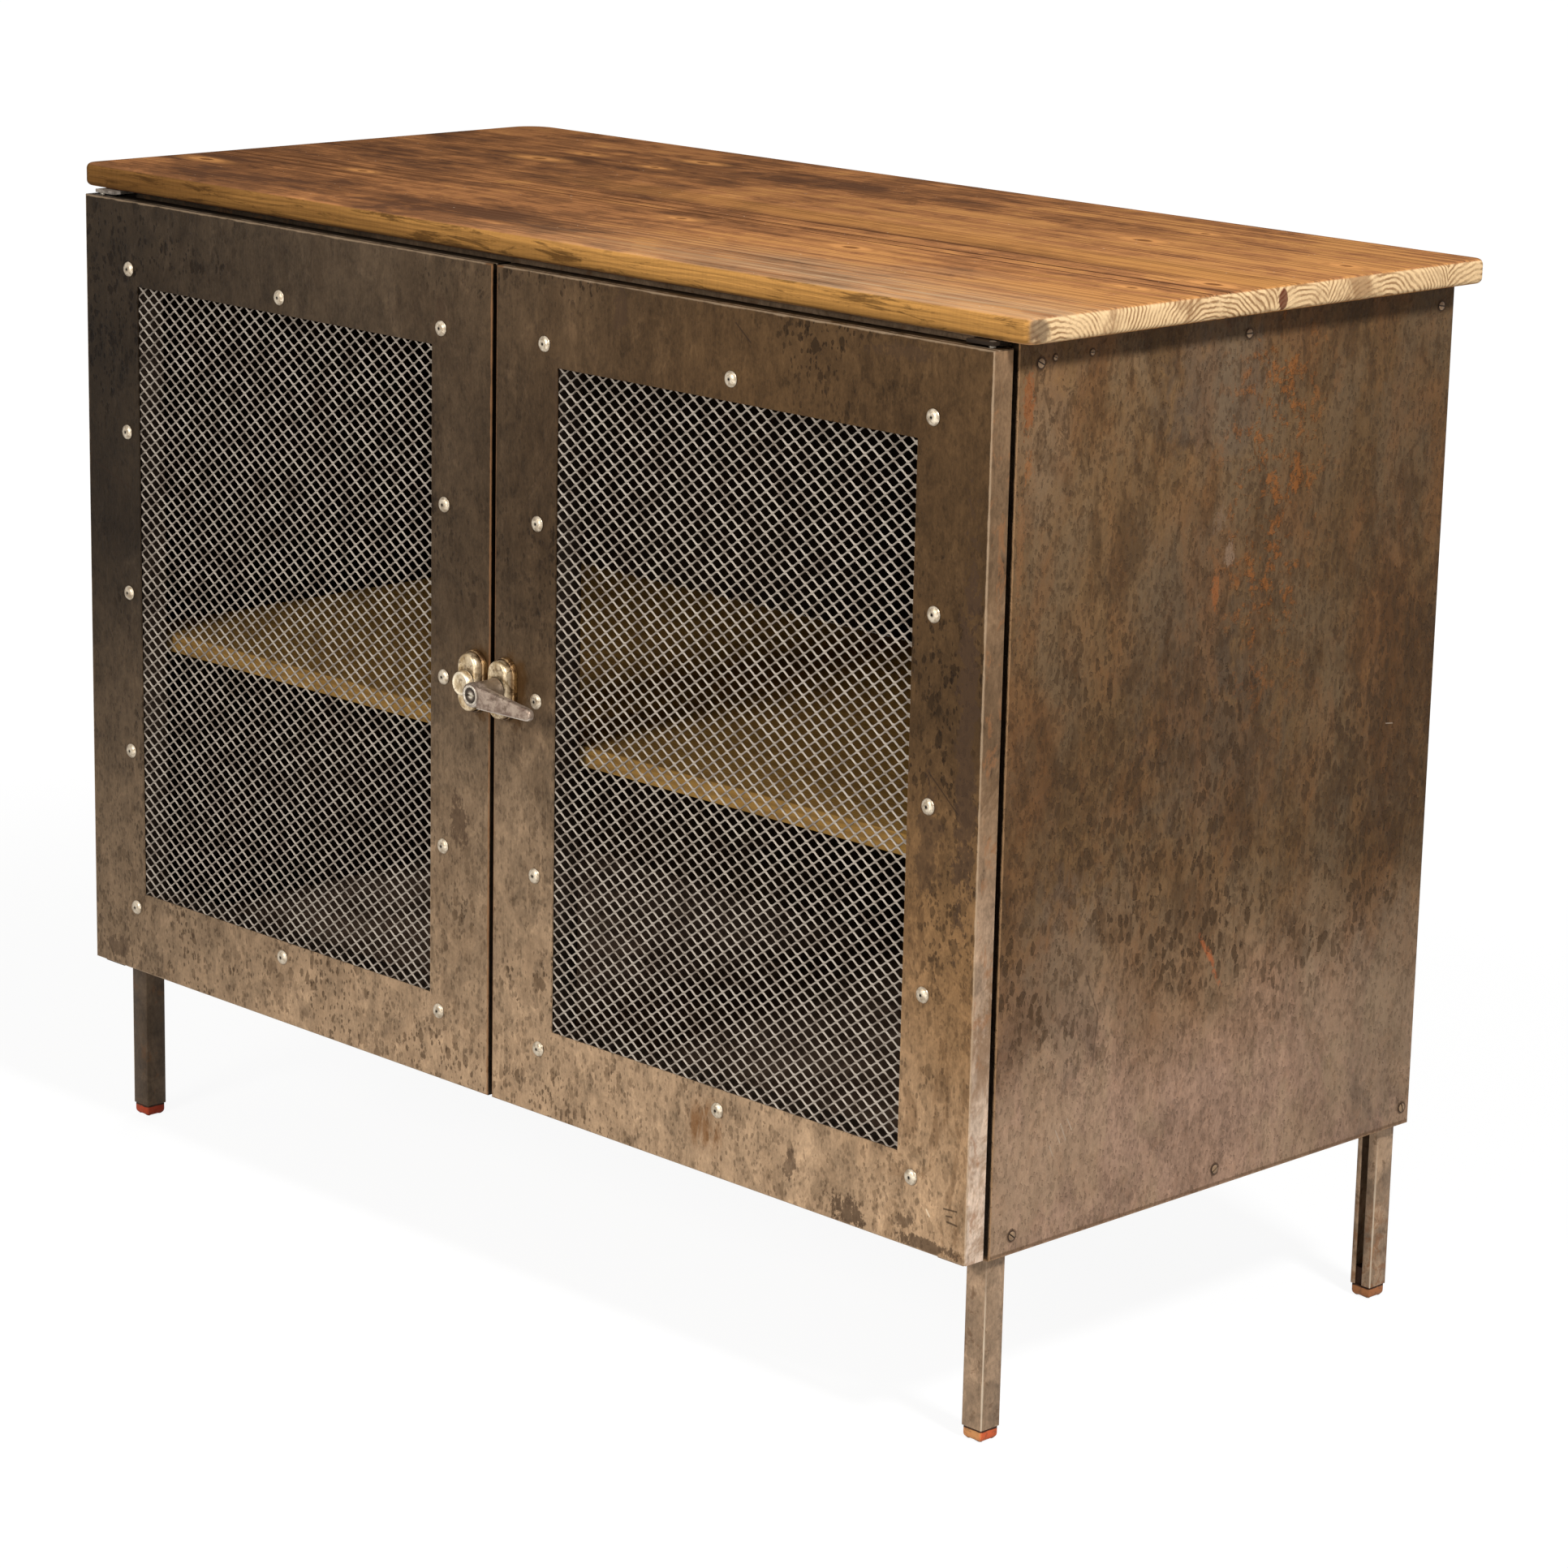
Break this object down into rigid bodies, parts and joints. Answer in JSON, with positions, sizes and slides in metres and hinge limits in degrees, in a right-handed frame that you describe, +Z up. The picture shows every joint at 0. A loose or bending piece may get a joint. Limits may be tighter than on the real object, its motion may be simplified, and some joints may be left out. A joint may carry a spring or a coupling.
{
  "type": "industrial metal cabinet",
  "caption": "Low steel cupboard on square legs with mesh-window doors on pin pivots, a lever latch, an inner shelf and a stained pine top.",
  "frame": {"origin": "middle of the object's bounding box, on the floor under the feet", "axes": "+X to the right as seen from the front, +Y to the rear, +Z up"},
  "size_m": [1.044, 0.5396, 0.804],
  "materials": {
    "door_steel": "aged satin lacquer over dark steel",
    "side_steel": "aged lacquer with rust blooms",
    "frame_steel": "worn bare steel, lacquered",
    "inner_steel": "dark lacquered sheet",
    "clamp_steel": "dark angle iron with bright rivets",
    "zinc_mesh": "galvanised expanded metal",
    "stained_pine": "stained and waxed glued board",
    "raw_pine": "pale bare board",
    "foot_plastic": "worn moulded plug",
    "cast_brass": "aged cast brass",
    "lever_metal": "worn cast lever",
    "bright_steel": "plain zinc-plated steel"
  },
  "bodies": {
    "carcass": {"back_panel": "inner_steel", "floor_panel": "inner_steel", "front_bottom_rail": "frame_steel", "front_left_foot": "foot_plastic", "front_left_post": "frame_steel", "front_right_foot": "foot_plastic", "front_right_post": "frame_steel", "front_top_rail": "frame_steel", "left_bottom_pivot_plate": "frame_steel", "left_bottom_rail": "frame_steel", "left_panel": "side_steel", "left_shelf_cleat": "inner_steel", "left_top_pivot_plate": "frame_steel", "left_top_rail": "frame_steel", "pine_top": "stained_pine", "rear_bottom_rail": "frame_steel", "rear_left_foot": "foot_plastic", "rear_left_post": "frame_steel", "rear_right_foot": "foot_plastic", "rear_right_post": "frame_steel", "rear_top_rail": "frame_steel", "right_bottom_pivot_plate": "frame_steel", "right_bottom_rail": "frame_steel", "right_panel": "side_steel", "right_shelf_cleat": "inner_steel", "right_top_pivot_plate": "frame_steel", "right_top_rail": "frame_steel", "shelf": "raw_pine"},
    "left_door": {"left_door_skin": "door_steel", "left_door_mesh": "zinc_mesh", "left_door_clamp_ring": "clamp_steel", "left_door_top_pin": "bright_steel", "left_door_bottom_pin": "bright_steel", "left_rosette": "cast_brass", "left_rosette_boss": "cast_brass"},
    "right_door": {"right_door_skin": "door_steel", "right_door_mesh": "zinc_mesh", "right_door_clamp_ring": "clamp_steel", "right_door_top_pin": "bright_steel", "right_door_bottom_pin": "bright_steel", "right_rosette": "cast_brass"},
    "latch": {"latch_lever": "lever_metal", "lever_screw": "bright_steel", "latch_spindle": "bright_steel", "latch_cam": "inner_steel", "cam_nut": "bright_steel"}
  },
  "joints": [
    {"name": "left_door_hinge", "type": "hinge", "parent": "carcass", "child": "left_door", "pos_m": [-0.489, -0.22315, 0.1425], "axis": [0, 0, -1], "range_deg": [0, 110]},
    {"name": "right_door_hinge", "type": "hinge", "parent": "carcass", "child": "right_door", "pos_m": [0.489, -0.22315, 0.1425], "axis": [0, 0, 1], "range_deg": [0, 110]},
    {"name": "latch_turn", "type": "hinge", "parent": "right_door", "child": "latch", "pos_m": [0.017, -0.23315, 0.466], "axis": [0, 1, 0], "range_deg": [0, 90]}
  ]
}
